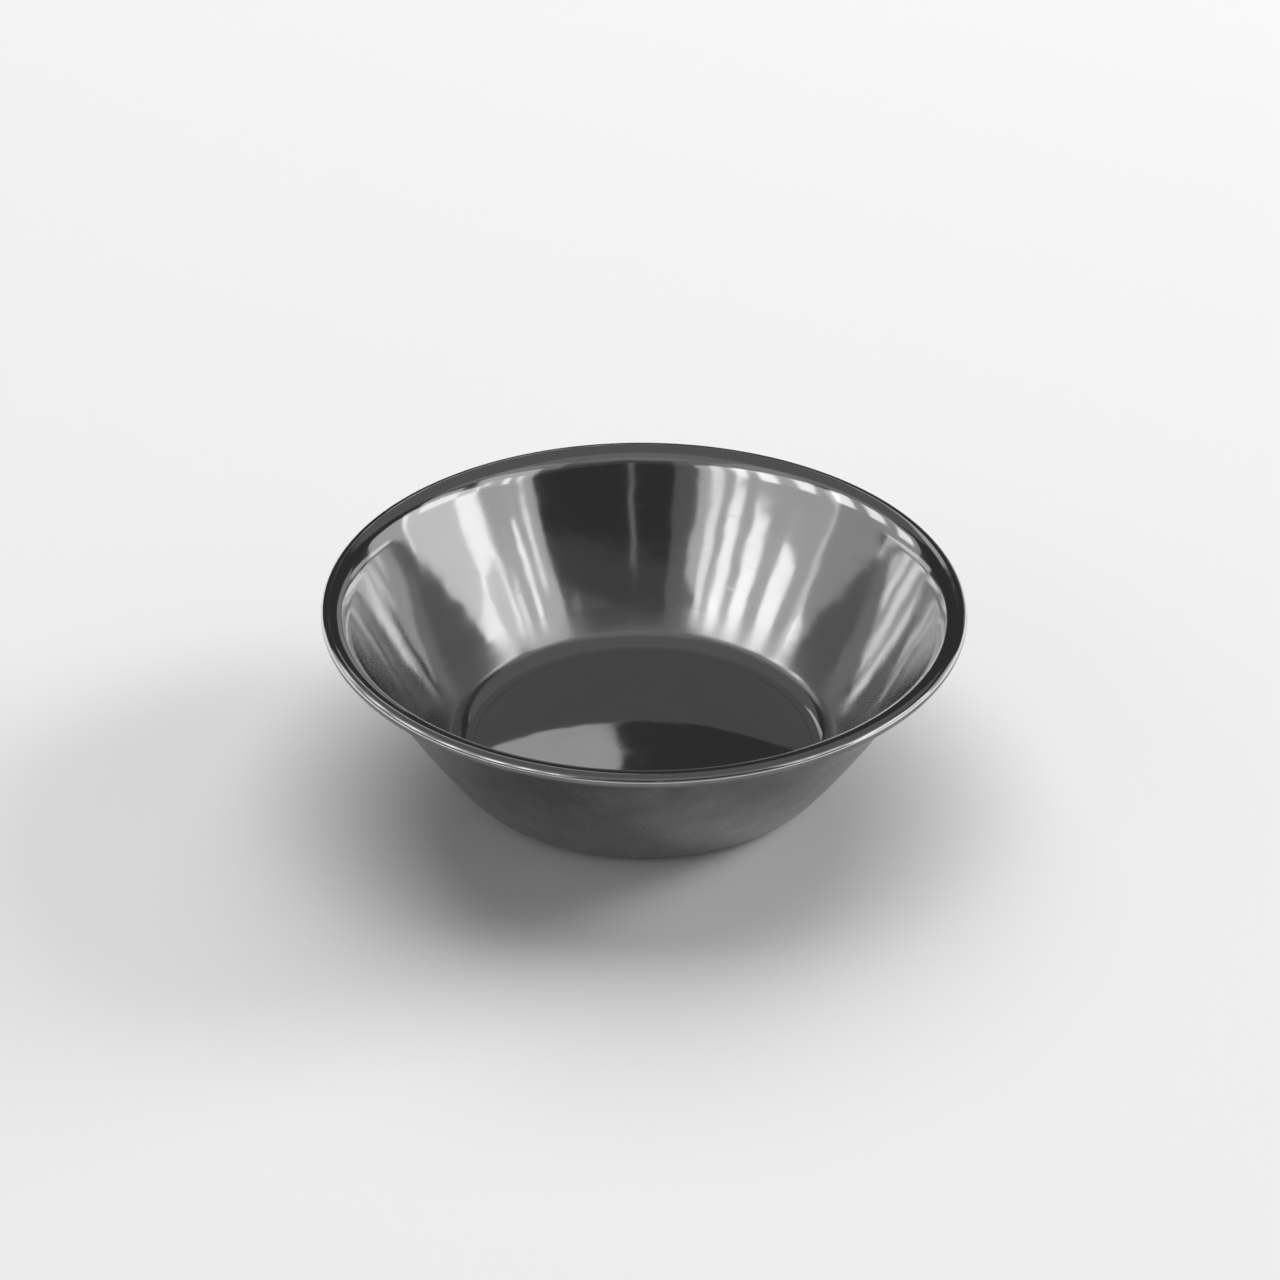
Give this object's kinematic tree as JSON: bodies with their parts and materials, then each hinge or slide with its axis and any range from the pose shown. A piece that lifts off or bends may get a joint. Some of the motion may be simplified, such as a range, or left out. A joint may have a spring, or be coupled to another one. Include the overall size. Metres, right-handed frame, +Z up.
{
  "type": "prep bowl",
  "caption": "Shallow round steel bowl with a flat raised floor, a flared curved wall and a rolled rim, for holding and mixing ingredients.",
  "frame": {"origin": "centre of the base, on the plane of the standing ring that the bowl rests on", "axes": "+Z up along the bowl's axis of revolution; X and Y are any two directions across it"},
  "size_m": [0.16, 0.16, 0.0472],
  "materials": {
    "steel": "mirror-polished inside and on the rim, satin outside"
  },
  "bodies": {
    "root": {"bowl": "steel"}
  },
  "joints": []
}
